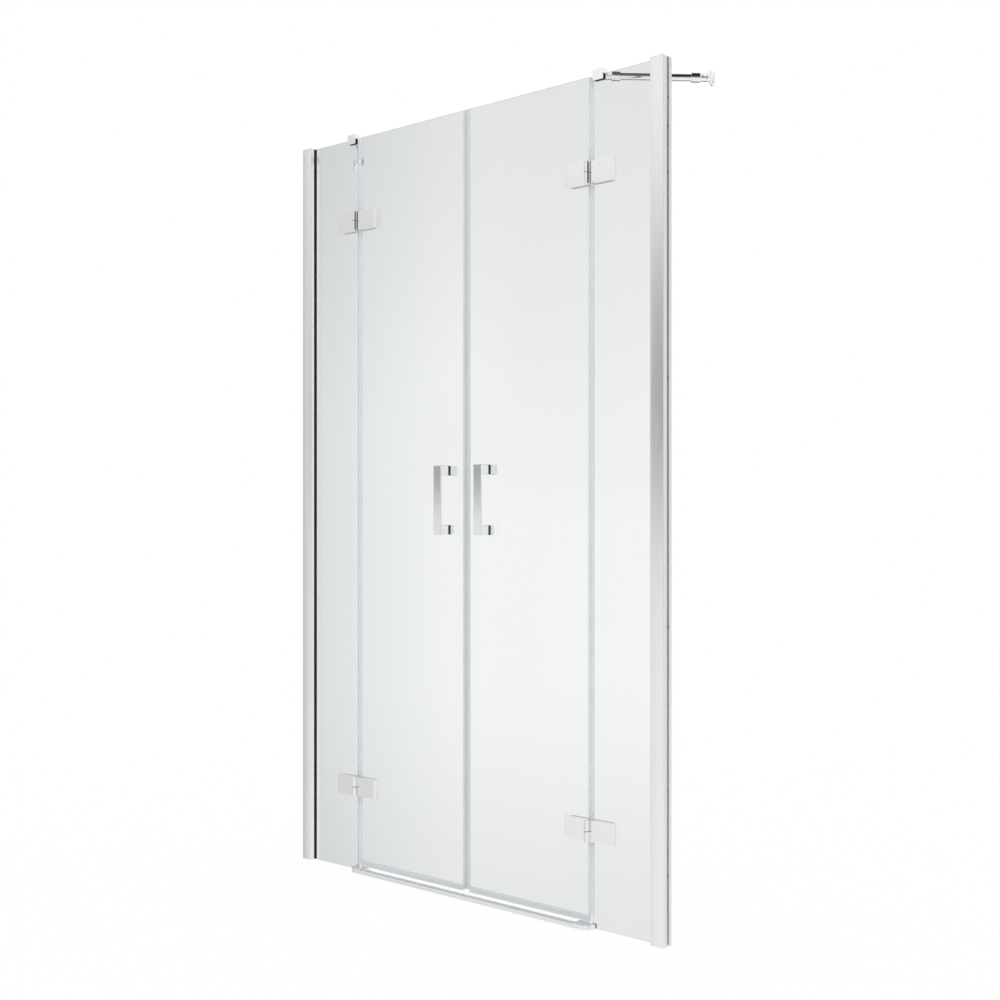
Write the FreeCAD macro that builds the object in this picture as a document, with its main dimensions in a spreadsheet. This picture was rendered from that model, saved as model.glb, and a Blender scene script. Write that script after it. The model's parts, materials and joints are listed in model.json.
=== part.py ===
import FreeCAD, Part
import os
import Sketcher

# A framed niche shower door: two wall profiles, two fixed glass panels and two
# glass leaves that open outwards on glass-to-glass hinges, with two stabiliser arms.
# Frame: X to the right seen from outside, Y into the shower, Z up, millimetres.
# The origin is at floor level, in the middle of the width, on the glass centre plane.
# The left half is modelled, and the right half is its mirror image in X.

doc = FreeCAD.newDocument("ShowerDoor")
sheet = doc.addObject("Spreadsheet::Sheet", "Sizes")

DRIVING_SIZES = [
    ("overall_width", 1200, "wall to wall"),
    ("overall_height", 1950, "floor to the top of the profiles"),
    ("glass_thickness", 6, "all four panes"),
    ("panel_lift", 1, "fixed glass above the floor"),
    ("panel_drop", 2, "glass top below the profile top"),
    ("door_lift", 20, "door glass above the floor"),
    ("hinge_inset", 210, "wall to hinge axis"),
    ("hinge_gap", 8, "fixed glass to door glass at the hinges"),
    ("centre_gap", 14.5, "door glass to door glass"),
    ("profile_width", 35, "wall profile, along X"),
    ("profile_front", 18.5, "glass plane to the crown of the profile"),
    ("profile_back", 14.5, "glass plane to the back of the profile"),
    ("crown_rise", 0.6, "rise of the convex profile front"),
    ("cover_wall", 2, "wall of the visible glass profile"),
    ("pocket_wall", 1.5, "wall of the glass pocket in it"),
    ("glass_inset", 20, "wall to the hidden glass edge"),
    ("gasket_front", 4.7, "black wedge gasket in front of the glass"),
    ("gasket_back", 2, "black gasket behind the glass"),
    ("gasket_base", 1.8, "gasket round the hidden glass edge"),
    ("gasket_lip", 0.5, "gasket proud of the profile"),
    ("channel_wall", 1.5, "wall of the channel screwed to the wall"),
    ("channel_reach", 20, "arm of that channel, along X"),
    ("slide_gap", 0.3, "channel to glass profile"),
    ("sealant_groove", 9, "groove in the channel's back, across"),
    ("sealant_depth", 6, "groove in the channel's back, deep"),
    ("wall_hole_radius", 3, "holes for wall screws"),
    ("wall_hole_end", 150, "outer wall holes from each end"),
    ("wall_hole_inner", 700, "inner wall holes from each end"),
    ("cap_thickness", 1.5, "top cap of each profile"),
    ("lock_end", 120, "outer locking screws from each end"),
    ("lock_radius", 1.75, "locking screw shank"),
    ("lock_length", 6.5, "locking screw below its head"),
    ("lock_head_radius", 3.5, "locking screw head, radius"),
    ("lock_head", 2, "locking screw head, height"),
    ("socket_radius", 1.75, "hexagon socket of the screws, centre to corner"),
    ("socket_depth", 1.4, "hexagon socket of the screws, deep"),
    ("fit_gap", 0.02, "radial gap of pieces fixed in holes"),
    ("running_gap", 0.05, "radial gap of pivots"),
    ("hinge_end", 224, "hinge centres from floor and from the top"),
    ("hinge_height", 50, "hinge leaf, along Z"),
    ("hinge_reach", 70, "hinge axis to the far edge of a leaf"),
    ("hinge_plate", 11.5, "hinge leaf thickness"),
    ("hinge_pad", 1, "gasket between metal and glass"),
    ("knuckle_radius", 6.5, "hinge barrel"),
    ("barrel_sunk", 3, "barrel set into the front of the plates"),
    ("barrel_gap", 0.6, "barrel to the plate round it"),
    ("leaf_gap", 3, "hinge axis to the near edge of a leaf"),
    ("knuckle_gap", 1.5, "between the two knuckles"),
    ("knuckle_end", 2.25, "closed end of each knuckle"),
    ("pin_radius", 3, "hinge pin"),
    ("pin_top_gap", 0.5, "pin end below the closed end above it"),
    ("bush_wall", 0.95, "plastic bush on the pin"),
    ("bush_flange_radius", 6, "flange of that bush"),
    ("bush_float", 0.3, "flange above the lower knuckle"),
    ("inner_plate", 5, "clamping plate behind the glass"),
    ("inner_reach", 60, "hinge axis to the far edge of that plate"),
    ("inner_gap", 6, "hinge axis to the near edge of that plate"),
    ("hinge_screw_reach", 36, "hinge axis to its screws"),
    ("hinge_screw_spacing", 28, "between two screws of a leaf"),
    ("screw_radius", 2.5, "hinge screw shank"),
    ("screw_head_radius", 5, "hinge screw head, radius"),
    ("screw_head", 2.5, "hinge screw head, height"),
    ("screw_grip", 5, "hinge screw thread in the leaf"),
    ("glass_hole_radius", 7, "hinge holes in the glass"),
    ("handle_height", 982, "handle centre above the floor"),
    ("handle_inset", 67.5, "door middle to handle centre"),
    ("handle_length", 172, "handle bar, along Z"),
    ("handle_width", 24.5, "handle bar, along X"),
    ("handle_bar", 6, "handle bar thickness"),
    ("handle_reach", 34, "glass front to the front of the bar"),
    ("handle_round", 0.8, "rounded handle edges"),
    ("post_width", 18, "handle post, along X"),
    ("post_height", 23.5, "handle post, along Z"),
    ("knob_depth", 25, "knob inside, at the upper post"),
    ("button_depth", 12, "button inside, at the lower post"),
    ("washer", 2.5, "black washers of the handle"),
    ("washer_gap", 0.3, "washer round the stud"),
    ("stud_radius", 3, "handle stud"),
    ("stud_grip", 14, "stud in the post"),
    ("knob_grip", 12, "stud in the knob"),
    ("button_grip", 7, "stud in the button"),
    ("handle_hole_radius", 6, "handle holes in the glass"),
    ("seal_skin", 1, "wall of the clear edge seals"),
    ("gap_seal_flange", 5, "hinge seal on the door glass"),
    ("gap_seal_lip", 10, "hinge seal lip behind the fixed glass"),
    ("seal_clear", 0.6, "lip to fixed glass"),
    ("seal_end_gap", 2, "seal ends to hinges"),
    ("seal_joint", 0.3, "seal end to seal end"),
    ("magnet_flange", 3.5, "closing seal on the door glass"),
    ("magnet_face_front", 0.45, "closing seal face to door middle, in front"),
    ("magnet_face_back", 0.85, "closing seal face to door middle, behind"),
    ("magnet_width", 5, "magnet strip, along Y"),
    ("magnet_play", 0.1, "magnet strip in its pocket"),
    ("drip_flange", 8, "bottom seal on the door glass"),
    ("drip_drop", 7, "bottom seal below the door glass"),
    ("drip_skin", 1.2, "wall of the bottom seal"),
    ("threshold_front", 31, "glass plane to the front of the threshold"),
    ("threshold_ridge", 17, "raised ridge, along Y"),
    ("threshold_height", 10, "raised ridge, along Z"),
    ("threshold_edge", 2.5, "rounded ridge edges"),
    ("threshold_base", 2.5, "flat foot under the leaves"),
    ("threshold_back", 8, "glass plane to the back of the foot"),
    ("end_overlap", 9, "threshold end beside the fixed glass"),
    ("end_length", 48, "threshold end, along X"),
    ("end_height", 11, "threshold end, along Z"),
    ("end_round", 25, "rounded front corner of the end"),
    ("end_gap", 0.3, "threshold end to glass"),
    ("clamp_inset", 5, "free glass edge to the stabiliser clamp"),
    ("clamp_width", 28, "stabiliser clamp, along X"),
    ("clamp_grip", 12, "clamp below the glass top"),
    ("clamp_over", 12.5, "clamp above the glass top"),
    ("clamp_jaw", 3, "clamp jaw thickness"),
    ("clamp_pad", 3, "black lining beside the glass"),
    ("clamp_pad_top", 1.2, "black lining over the glass"),
    ("clamp_screw_radius", 2, "grub screw in the rear jaw"),
    ("clamp_screw_lift", 3.2, "grub screw above the jaw's lower edge"),
    ("grub_socket_radius", 1.15, "hexagon socket of the grub screw, centre to corner"),
    ("arm_rise", 1, "stabiliser axis above the glass top"),
    ("sleeve_radius", 11, "stabiliser sleeve"),
    ("sleeve_length", 20, "stabiliser sleeve, full round part"),
    ("sleeve_floor", 4, "closed end of the sleeve"),
    ("rod_radius", 8, "stabiliser rod"),
    ("tongue_length", 16, "pivot to the full round part, at the clamp"),
    ("wall_tongue", 12, "pivot to the full round part, at the wall"),
    ("tongue_radius", 8.5, "tongues and lugs of the swivels"),
    ("swivel_gap", 0.4, "tongue below lug"),
    ("swivel_room", 2, "round end of a tongue to the clamp it turns by"),
    ("swivel_pin_radius", 3, "swivel pin"),
    ("anchor_back", 180, "glass plane to the wall flange"),
    ("flange_thickness", 5, "wall flange"),
    ("flange_reach", 17, "wall flange to its pivot"),
    ("flange_width", 20, "wall flange, along Y"),
    ("flange_rise", 10, "wall flange above the stabiliser axis"),
    ("flange_drop", 12, "straight sides of the flange below that axis"),
    ("anchor_hole_drop", 14, "flange screw hole below that axis"),
    ("anchor_hole_radius", 2.2, "flange screw hole"),
]

for row, (alias, size, meaning) in enumerate(DRIVING_SIZES, start=1):
    sheet.set(f"A{row}", meaning)
    sheet.set(f"B{row}", str(size))
    sheet.setAlias(f"B{row}", alias)
doc.recompute()

# Places along X on the left half
WALL = "(-Sizes.overall_width / 2)"
PROFILE_SIDE = f"({WALL} + Sizes.profile_width)"
GLASS_IN = f"({WALL} + Sizes.glass_inset)"
POCKET_FLOOR = f"({GLASS_IN} - Sizes.gasket_base)"
LOCK_X = f"({WALL} + Sizes.channel_reach / 2)"
HINGE_X = f"({WALL} + Sizes.hinge_inset)"
FIXED_EDGE = f"({HINGE_X} - Sizes.hinge_gap / 2)"
DOOR_EDGE = f"({HINGE_X} + Sizes.hinge_gap / 2)"
DOOR_MEET = "(-Sizes.centre_gap / 2)"
HANDLE_X = "(-Sizes.handle_inset)"
END_OUT = f"({FIXED_EDGE} - Sizes.end_overlap)"
END_IN = f"({END_OUT} + Sizes.end_length)"
CLAMP_LEFT = f"({FIXED_EDGE} - Sizes.clamp_inset - Sizes.clamp_width)"
CLAMP_X = f"({CLAMP_LEFT} + Sizes.clamp_width / 2)"
ANCHOR_X = f"({WALL} + Sizes.flange_thickness + Sizes.flange_reach)"

# Places along Y
GLASS_FACE = "(Sizes.glass_thickness / 2)"
PROFILE_EDGE = "(Sizes.crown_rise - Sizes.profile_front)"
COVER_FRONT = f"({PROFILE_EDGE} + Sizes.cover_wall)"
COVER_BACK = "(Sizes.profile_back - Sizes.cover_wall)"
CHANNEL_FRONT = f"({COVER_FRONT} + Sizes.slide_gap)"
CHANNEL_BACK = f"({COVER_BACK} - Sizes.slide_gap)"
POCKET_FRONT = f"(-{GLASS_FACE} - Sizes.gasket_front)"
POCKET_BACK = f"({GLASS_FACE} + Sizes.gasket_back)"
PLATE_BACK = f"(-{GLASS_FACE} - Sizes.hinge_pad)"
PLATE_FRONT = f"({PLATE_BACK} - Sizes.hinge_plate)"
AXIS_Y = f"({PLATE_FRONT} + Sizes.barrel_sunk - Sizes.knuckle_radius)"
INNER_FRONT = f"({GLASS_FACE} + Sizes.hinge_pad)"
INNER_BACK = f"({INNER_FRONT} + Sizes.inner_plate)"
POST_BACK = f"(-{GLASS_FACE} - Sizes.washer)"
BAR_FRONT = f"(-{GLASS_FACE} - Sizes.handle_reach)"
KNOB_FRONT = f"({GLASS_FACE} + Sizes.washer)"
LINING_FACE = f"({GLASS_FACE} + Sizes.clamp_pad)"
CLAMP_FACE = f"({LINING_FACE} + Sizes.clamp_jaw)"
PIVOT_Y = f"({CLAMP_FACE} + Sizes.swivel_room + Sizes.tongue_radius)"

# Places along Z
PROFILE_TOP = "(Sizes.overall_height - Sizes.cap_thickness)"
GLASS_TOP = "(Sizes.overall_height - Sizes.panel_drop)"
MIDDLE = "(Sizes.overall_height / 2)"
HINGE_HEIGHTS = {
    "lower": "Sizes.hinge_end",
    "upper": "(Sizes.overall_height - Sizes.hinge_end)",
}
POST_OFFSET = "((Sizes.handle_length - Sizes.post_height) / 2)"
UPPER_POST = f"(Sizes.handle_height + {POST_OFFSET})"
LOWER_POST = f"(Sizes.handle_height - {POST_OFFSET})"
CLAMP_LOW = f"({GLASS_TOP} - Sizes.clamp_grip)"
CLAMP_TOP = f"({GLASS_TOP} + Sizes.clamp_over)"
ARM_Z = f"({GLASS_TOP} + Sizes.arm_rise)"
WALL_HOLE_HEIGHTS = [
    "Sizes.wall_hole_end",
    "Sizes.wall_hole_inner",
    "(Sizes.overall_height - Sizes.wall_hole_inner)",
    "(Sizes.overall_height - Sizes.wall_hole_end)",
]
LOCK_HEIGHTS = ["Sizes.lock_end", MIDDLE, "(Sizes.overall_height - Sizes.lock_end)"]

# Outside of the bush on a hinge pin
BUSH_RADIUS = "(Sizes.pin_radius + Sizes.running_gap + Sizes.bush_wall)"

# Straight line between the two pivots of a stabiliser arm
ARM_LENGTH = f"sqrt(({ANCHOR_X} - {CLAMP_X})^2 + (Sizes.anchor_back - {PIVOT_Y})^2)"
ARM_ANGLE = f"atan2(Sizes.anchor_back - {PIVOT_Y}; {ANCHOR_X} - {CLAMP_X})"

# The sketch plane square to each axis, and which way its normal points along that axis
SKETCH_PLANES = {"X": ("YZ_Plane", 1), "Y": ("XZ_Plane", -1), "Z": ("XY_Plane", 1)}
CYLINDER_TURNS = {
    "X": FreeCAD.Rotation(FreeCAD.Vector(0, 1, 0), 90),
    "Y": FreeCAD.Rotation(FreeCAD.Vector(1, 0, 0), -90),
    "Z": FreeCAD.Rotation(),
}
LEAST_CUT = 1e-6
SOCKET_SIDES = 6

SOCKET_SIZE = ("Sizes.socket_radius", "Sizes.socket_depth")

nodes = {}
pockets = []


def value(expression):
    """The number that an expression of the sheet has now."""
    return float(sheet.evalExpression(expression))


def keep(label, piece):
    """Give a finished piece the label that names its file."""
    piece.Label = label
    nodes[label] = piece
    return piece


def new_body(name):
    return doc.addObject("PartDesign::Body", name)


def new_sketch(body, name, axis, start):
    """An empty sketch square to an axis, at a place along it."""
    role, way = SKETCH_PLANES[axis]
    plane = [feature for feature in body.Origin.OriginFeatures if feature.Role == role][0]
    sketch = body.newObject("Sketcher::SketchObject", f"{name}_sketch")
    sketch.AttachmentSupport = [(plane, "")]
    sketch.MapMode = "FlatFace"
    sketch.setExpression("AttachmentOffset.Base.z", f"{way} * ({start})")
    return sketch


def constrain(sketch, constraint, expression):
    index = sketch.addConstraint(constraint)
    sketch.setExpression(f"Constraints[{index}]", expression)


def draw_outline(sketch, corners):
    """A closed outline. A corner is (x, y), or (x, y, rise) where an arc leaves it, rising to the right."""
    count = len(corners)
    first = sketch.GeometryCount
    places = [FreeCAD.Vector(value(corner[0]), value(corner[1]), 0) for corner in corners]
    ends = []
    for index, corner in enumerate(corners):
        start = places[index]
        finish = places[(index + 1) % count]
        if len(corner) == 2:
            sketch.addGeometry(Part.LineSegment(start, finish), False)
        else:
            chord = finish - start
            right = FreeCAD.Vector(chord.y, -chord.x, 0).normalize()
            crest = (start + finish) * 0.5 + right * value(corner[2])
            sketch.addGeometry(Part.Arc(start, crest, finish), False)
        drawn_start = sketch.getPoint(first + index, 1)
        forward = drawn_start.distanceToPoint(start) < drawn_start.distanceToPoint(finish)
        ends.append((1, 2) if forward else (2, 1))
    for index, corner in enumerate(corners):
        edge = first + index
        after = (index + 1) % count
        begin, finish = ends[index]
        next_begin = ends[after][0]
        sketch.addConstraint(Sketcher.Constraint("Coincident", edge, finish, first + after, next_begin))
        place = places[index]
        constrain(sketch, Sketcher.Constraint("DistanceX", -1, 1, edge, begin, place.x), corner[0])
        constrain(sketch, Sketcher.Constraint("DistanceY", -1, 1, edge, begin, place.y), corner[1])
        if len(corner) == 3:
            centre_arc(sketch, edge, corner, corners[after])


def centre_arc(sketch, edge, corner, follower):
    """Hold an arc by its centre, which lies on the line square to its chord."""
    across = f"(({follower[0]}) - ({corner[0]}))"
    along = f"(({follower[1]}) - ({corner[1]}))"
    chord = f"sqrt({across}^2 + {along}^2)"
    setback = f"({chord} / (8 * ({corner[2]})) - ({corner[2]}) / (2 * {chord}))"
    if abs(value(across)) > abs(value(along)):
        centre = f"((({corner[1]}) + ({follower[1]})) / 2 + {across} * {setback})"
        constrain(sketch, Sketcher.Constraint("DistanceY", -1, 1, edge, 3, value(centre)), centre)
    else:
        centre = f"((({corner[0]}) + ({follower[0]})) / 2 - {along} * {setback})"
        constrain(sketch, Sketcher.Constraint("DistanceX", -1, 1, edge, 3, value(centre)), centre)


def draw_circle(sketch, centre, radius):
    place = FreeCAD.Vector(value(centre[0]), value(centre[1]), 0)
    edge = sketch.addGeometry(Part.Circle(place, FreeCAD.Vector(0, 0, 1), value(radius)), False)
    constrain(sketch, Sketcher.Constraint("DistanceX", -1, 1, edge, 3, place.x), centre[0])
    constrain(sketch, Sketcher.Constraint("DistanceY", -1, 1, edge, 3, place.y), centre[1])
    constrain(sketch, Sketcher.Constraint("Radius", edge, value(radius)), radius)


def raise_pad(body, name, axis, sketch, length):
    """Extrude a sketch along the positive axis."""
    pad = body.newObject("PartDesign::Pad", name)
    pad.Profile = sketch
    pad.setExpression("Length", length)
    pad.Reversed = SKETCH_PLANES[axis][1] < 0
    doc.recompute()


def prism(body, name, axis, start, length, *outlines):
    """Solid between an outer outline and any inner ones, from start along the positive axis."""
    sketch = new_sketch(body, name, axis, start)
    for corners in outlines:
        draw_outline(sketch, corners)
    raise_pad(body, name, axis, sketch, length)


def round_bar(body, name, axis, start, length, centre, radius):
    sketch = new_sketch(body, name, axis, start)
    draw_circle(sketch, centre, radius)
    raise_pad(body, name, axis, sketch, length)


def cut_pocket(body, name, axis, sketch, depth, way):
    """Cut a sketch out of a body, along the axis in the way given, right through if depth is None."""
    pocket = body.newObject("PartDesign::Pocket", name)
    pocket.Profile = sketch
    if depth is None:
        pocket.Type = "ThroughAll"
    else:
        pocket.setExpression("Length", depth)
    pocket.Reversed = way == SKETCH_PLANES[axis][1]
    pockets.append(pocket)
    doc.recompute()


def drill(body, name, axis, start, depth, centres, radius, way):
    sketch = new_sketch(body, name, axis, start)
    for centre in centres:
        draw_circle(sketch, centre, radius)
    cut_pocket(body, name, axis, sketch, depth, way)


def trim(body, name, axis, start, depth, corners, way):
    sketch = new_sketch(body, name, axis, start)
    draw_outline(sketch, corners)
    cut_pocket(body, name, axis, sketch, depth, way)


def soften(body, name, radius):
    """Round every edge that a body has so far."""
    base = body.Tip
    fillet = body.newObject("PartDesign::Fillet", name)
    fillet.Base = (base, [])
    fillet.UseAllEdges = True
    fillet.setExpression("Radius", radius)
    doc.recompute()


def place_at(piece, place):
    for letter, expression in zip("xyz", place):
        piece.setExpression(f"Placement.Base.{letter}", expression)


def cylinder(name, axis, radius, height, place):
    rod = doc.addObject("Part::Cylinder", name)
    rod.setExpression("Radius", radius)
    rod.setExpression("Height", height)
    rod.Placement = FreeCAD.Placement(FreeCAD.Vector(), CYLINDER_TURNS[axis])
    place_at(rod, place)
    return rod


def cone(name, axis, near_radius, far_radius, height, place):
    taper = doc.addObject("Part::Cone", name)
    taper.setExpression("Radius1", near_radius)
    taper.setExpression("Radius2", far_radius)
    taper.setExpression("Height", height)
    taper.Placement = FreeCAD.Placement(FreeCAD.Vector(), CYLINDER_TURNS[axis])
    place_at(taper, place)
    return taper


def hexagon(name, axis, radius, height, place):
    """A six-sided bar, as the socket of a screw is cut with."""
    bar = doc.addObject("Part::Prism", name)
    bar.Polygon = SOCKET_SIDES
    bar.setExpression("Circumradius", radius)
    bar.setExpression("Height", height)
    bar.Placement = FreeCAD.Placement(FreeCAD.Vector(), CYLINDER_TURNS[axis])
    place_at(bar, place)
    return bar


def box(name, low, high):
    """A block between two corners."""
    block = doc.addObject("Part::Box", name)
    for side, least, most in zip(("Length", "Width", "Height"), low, high):
        block.setExpression(side, f"({most}) - ({least})")
    place_at(block, low)
    return block


def fused(name, pieces):
    whole = doc.addObject("Part::MultiFuse", name)
    whole.Shapes = pieces
    return whole


def without(name, base, tool):
    rest = doc.addObject("Part::Cut", name)
    rest.Base = base
    rest.Tool = tool
    return rest


def group(name, pieces):
    """Separate solids kept in one object."""
    bundle = doc.addObject("Part::Compound", name)
    bundle.Links = pieces
    return bundle


def mirror(name, source):
    """The right-hand copy of a left-hand piece."""
    copy = doc.addObject("Part::Mirroring", name)
    copy.Source = source
    copy.Base = FreeCAD.Vector(0, 0, 0)
    copy.Normal = FreeCAD.Vector(1, 0, 0)
    return copy


def keep_pair(name, left_piece):
    """Keep a left piece and its mirror image as two nodes."""
    keep(f"left_{name}", left_piece)
    keep(f"right_{name}", mirror(f"right_{name}", left_piece))


def keep_both(label, left_piece):
    """Keep a left piece and its mirror image together, as one node."""
    right_piece = mirror(f"{label}_right", left_piece)
    keep(label, group(label, [left_piece, right_piece]))


def rectangle(low, high):
    return [(low[0], low[1]), (high[0], low[1]), (high[0], high[1]), (low[0], high[1])]


def build_wall_channel():
    """Channel screwed to the wall, with a sealant groove in its back."""
    body = new_body("left_wall_channel")
    half_groove = "(Sizes.sealant_groove / 2)"
    web = f"({WALL} + Sizes.channel_wall)"
    groove_floor = f"({WALL} + Sizes.sealant_depth)"
    groove_web = f"({groove_floor} + Sizes.channel_wall)"
    arm_end = f"({WALL} + Sizes.channel_reach)"
    front_inner = f"({CHANNEL_FRONT} + Sizes.channel_wall)"
    back_inner = f"({CHANNEL_BACK} - Sizes.channel_wall)"
    bulge = f"({half_groove} + Sizes.channel_wall)"
    section = [
        (WALL, CHANNEL_FRONT),
        (arm_end, CHANNEL_FRONT),
        (arm_end, front_inner),
        (web, front_inner),
        (web, f"-{bulge}"),
        (groove_web, f"-{bulge}"),
        (groove_web, bulge),
        (web, bulge),
        (web, back_inner),
        (arm_end, back_inner),
        (arm_end, CHANNEL_BACK),
        (WALL, CHANNEL_BACK),
        (WALL, half_groove),
        (groove_floor, half_groove),
        (groove_floor, f"-{half_groove}"),
        (WALL, f"-{half_groove}"),
    ]
    prism(body, "channel_section", "Z", "0", PROFILE_TOP, section)
    wall_holes = [("0", height) for height in WALL_HOLE_HEIGHTS]
    drill(body, "wall_holes", "X", groove_floor, None, wall_holes, "Sizes.wall_hole_radius", 1)
    lock_holes = [(LOCK_X, height) for height in LOCK_HEIGHTS]
    lock_hole = "Sizes.lock_radius + Sizes.fit_gap"
    lock_depth = "Sizes.channel_wall + Sizes.slide_gap"
    drill(body, "channel_lock_holes", "Y", CHANNEL_BACK, lock_depth, lock_holes, lock_hole, -1)
    keep_pair("wall_channel", body)


def build_glass_profile():
    """Visible profile with a convex front, which slides over the channel and holds the glass."""
    body = new_body("left_glass_profile")
    side_inner = f"({PROFILE_SIDE} - Sizes.cover_wall)"
    pocket_outside = f"({POCKET_FLOOR} - Sizes.pocket_wall)"
    front_rail = f"({POCKET_FRONT} - Sizes.pocket_wall)"
    back_rail = f"({POCKET_BACK} + Sizes.pocket_wall)"
    section = [
        (WALL, PROFILE_EDGE, "Sizes.crown_rise"),
        (PROFILE_SIDE, PROFILE_EDGE),
        (PROFILE_SIDE, POCKET_FRONT),
        (POCKET_FLOOR, POCKET_FRONT),
        (POCKET_FLOOR, POCKET_BACK),
        (PROFILE_SIDE, POCKET_BACK),
        (PROFILE_SIDE, "Sizes.profile_back"),
        (WALL, "Sizes.profile_back"),
        (WALL, COVER_BACK),
        (side_inner, COVER_BACK),
        (side_inner, back_rail),
        (pocket_outside, back_rail),
        (pocket_outside, front_rail),
        (side_inner, front_rail),
        (side_inner, COVER_FRONT),
        (WALL, COVER_FRONT),
    ]
    prism(body, "profile_section", "Z", "0", PROFILE_TOP, section)
    lock_holes = [(LOCK_X, height) for height in LOCK_HEIGHTS]
    lock_hole = "Sizes.lock_radius + Sizes.fit_gap"
    lock_depth = "Sizes.cover_wall + Sizes.slide_gap"
    drill(body, "profile_lock_holes", "Y", "Sizes.profile_back", lock_depth, lock_holes, lock_hole, -1)
    keep_pair("glass_profile", body)


def build_glass_gasket():
    """Black rubber that wedges the fixed glass in its profile."""
    body = new_body("glass_gasket_left")
    lip = f"({PROFILE_SIDE} + Sizes.gasket_lip)"
    section = [
        (lip, POCKET_FRONT),
        (lip, f"-{GLASS_FACE}"),
        (GLASS_IN, f"-{GLASS_FACE}"),
        (GLASS_IN, GLASS_FACE),
        (lip, GLASS_FACE),
        (lip, POCKET_BACK),
        (POCKET_FLOOR, POCKET_BACK),
        (POCKET_FLOOR, POCKET_FRONT),
    ]
    prism(body, "gasket_section", "Z", "Sizes.panel_lift", f"{GLASS_TOP} - Sizes.panel_lift", section)
    keep_both("glass_gaskets", body)


def build_profile_cap():
    body = new_body("profile_cap_left")
    section = [
        (WALL, PROFILE_EDGE, "Sizes.crown_rise"),
        (PROFILE_SIDE, PROFILE_EDGE),
        (PROFILE_SIDE, "Sizes.profile_back"),
        (WALL, "Sizes.profile_back"),
    ]
    prism(body, "cap_section", "Z", PROFILE_TOP, "Sizes.cap_thickness", section)
    keep_both("profile_caps", body)


def build_profile_screws():
    """Pan-head screws that lock each profile on its channel, from inside the shower."""
    screws = []
    for index, height in enumerate(LOCK_HEIGHTS):
        tip = "(Sizes.profile_back - Sizes.lock_length)"
        shank = cylinder(
            f"lock_shank_{index}", "Y", "Sizes.lock_radius", "Sizes.lock_length", (LOCK_X, tip, height)
        )
        head_place = (LOCK_X, "Sizes.profile_back", height)
        head = cylinder(f"lock_head_{index}", "Y", "Sizes.lock_head_radius", "Sizes.lock_head", head_place)
        socket_place = (LOCK_X, "(Sizes.profile_back + Sizes.lock_head - Sizes.socket_depth)", height)
        socket = hexagon(f"lock_socket_{index}", "Y", *SOCKET_SIZE, socket_place)
        screws.append(without(f"lock_screw_{index}", fused(f"lock_blank_{index}", [shank, head]), socket))
    keep_both("profile_screws", group("profile_screws_left", screws))


def hinge_screw_centres(side):
    """Where the screws of the two hinge leaves on one side of the axis pass through the glass."""
    across = f"({HINGE_X} + {side} * Sizes.hinge_screw_reach)"
    centres = []
    for height in HINGE_HEIGHTS.values():
        centres.append((across, f"({height} - Sizes.hinge_screw_spacing / 2)"))
        centres.append((across, f"({height} + Sizes.hinge_screw_spacing / 2)"))
    return centres


def build_panes():
    """The fixed glass and the door glass, with holes for their fittings."""
    panes = {
        "fixed_panel": (GLASS_IN, FIXED_EDGE, "Sizes.panel_lift", -1),
        "door_panel": (DOOR_EDGE, DOOR_MEET, "Sizes.door_lift", 1),
    }
    for name, (left_edge, right_edge, lowest, side) in panes.items():
        body = new_body(f"left_{name}")
        section = rectangle((left_edge, f"-{GLASS_FACE}"), (right_edge, GLASS_FACE))
        prism(body, f"{name}_sheet", "Z", lowest, f"{GLASS_TOP} - {lowest}", section)
        centres = hinge_screw_centres(side)
        drill(body, f"{name}_hinge_holes", "Y", f"-{GLASS_FACE}", None, centres, "Sizes.glass_hole_radius", 1)
        if name == "door_panel":
            posts = [(HANDLE_X, LOWER_POST), (HANDLE_X, UPPER_POST)]
            drill(body, "handle_holes", "Y", f"-{GLASS_FACE}", None, posts, "Sizes.handle_hole_radius", 1)
        keep_pair(name, body)


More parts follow.
